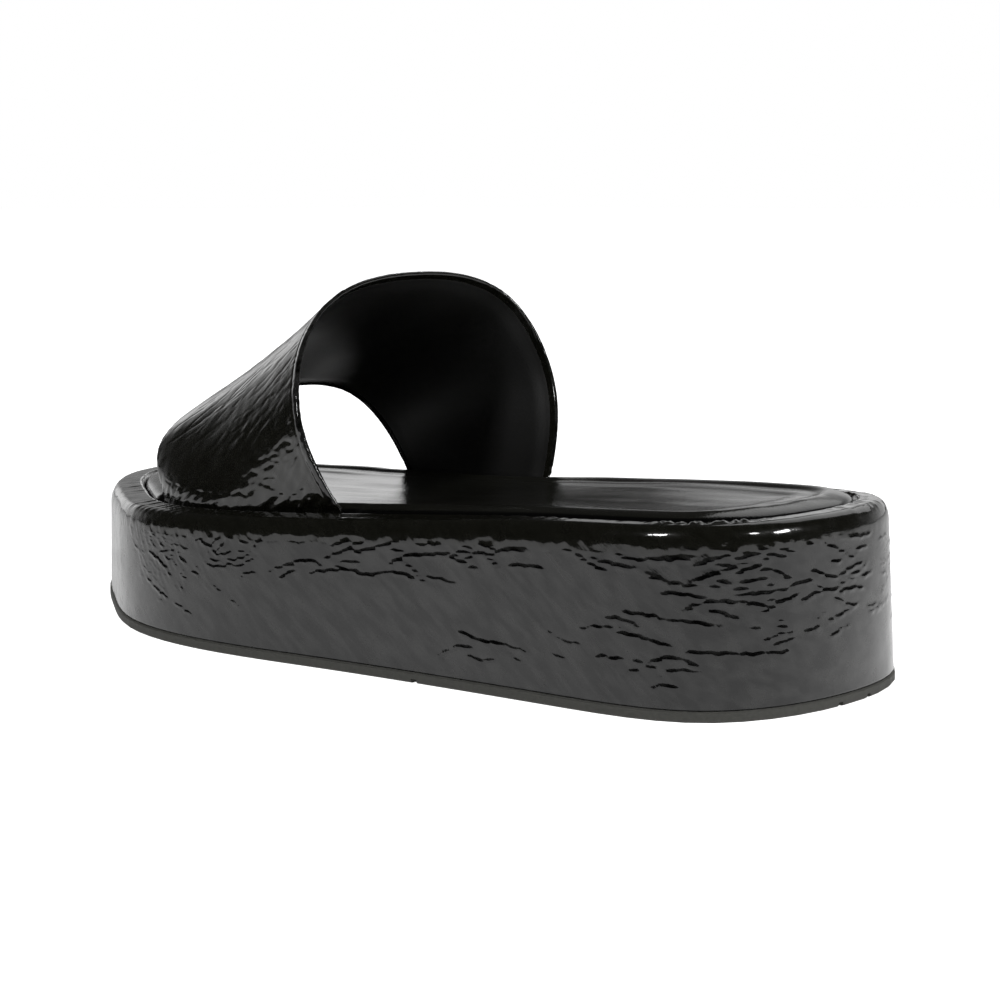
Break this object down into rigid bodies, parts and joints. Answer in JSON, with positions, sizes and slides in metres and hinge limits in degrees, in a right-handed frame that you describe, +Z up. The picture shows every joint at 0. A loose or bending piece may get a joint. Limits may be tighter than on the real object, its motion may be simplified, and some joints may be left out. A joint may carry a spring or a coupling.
{
  "type": "platform slide sandal",
  "caption": "Left platform slide sandal with a thick wrapped wedge sole, a rolled top edge, a padded footbed and a wide open band over the foot.",
  "frame": {"origin": "under the middle of the shoe's box, on the floor", "axes": "+Y to the heel and -Y to the toe, +X to the outer side of the left foot, +Z up"},
  "size_m": [0.1104, 0.2654, 0.0931],
  "materials": {
    "outsole": "matte dark olive-grey rubber sheet",
    "platform": "crinkled black patent leather, mirror gloss",
    "footbed": "smooth semi-gloss black leather over padding",
    "upper_band": "crinkled black patent leather outside, satin black lining inside"
  },
  "bodies": {
    "root": {"outsole": "outsole", "platform": "platform", "footbed": "footbed", "upper_band": "upper_band"}
  },
  "joints": []
}
